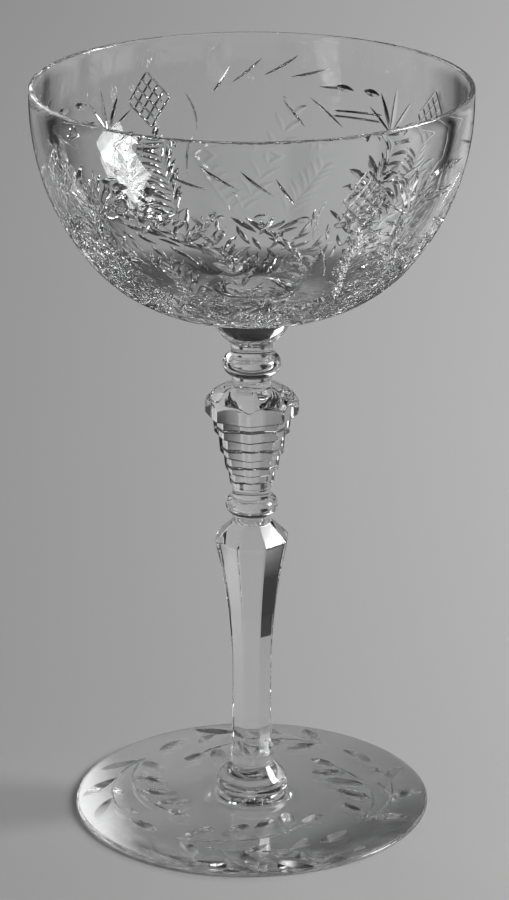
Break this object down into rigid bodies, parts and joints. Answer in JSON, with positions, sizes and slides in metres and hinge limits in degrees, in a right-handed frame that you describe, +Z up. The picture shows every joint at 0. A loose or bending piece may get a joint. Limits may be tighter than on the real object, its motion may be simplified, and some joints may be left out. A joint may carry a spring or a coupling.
{
  "type": "coupe glass",
  "caption": "Clear cut-glass champagne coupe: wide round bowl on a merese, bead rings, stepped faceted knop, hollow-tapered faceted shaft and bell collar, standing on a flat disc foot.",
  "frame": {"origin": "middle of the foot, on the surface that the glass stands on", "axes": "+Z up along the axis of the stem and bowl; -Y is the front, which a flat of the shaft faces"},
  "size_m": [0.092, 0.092, 0.162],
  "materials": {
    "cut_glass": "clear, polished, with polished cuts",
    "stem_glass": "clear, polished facets and turned beads"
  },
  "bodies": {
    "root": {"foot": "cut_glass", "foot_collar": "stem_glass", "faceted_shaft": "stem_glass", "lower_ring": "stem_glass", "stepped_knop": "stem_glass", "upper_ring": "stem_glass", "bowl_merese": "stem_glass", "bowl": "cut_glass"}
  },
  "joints": []
}
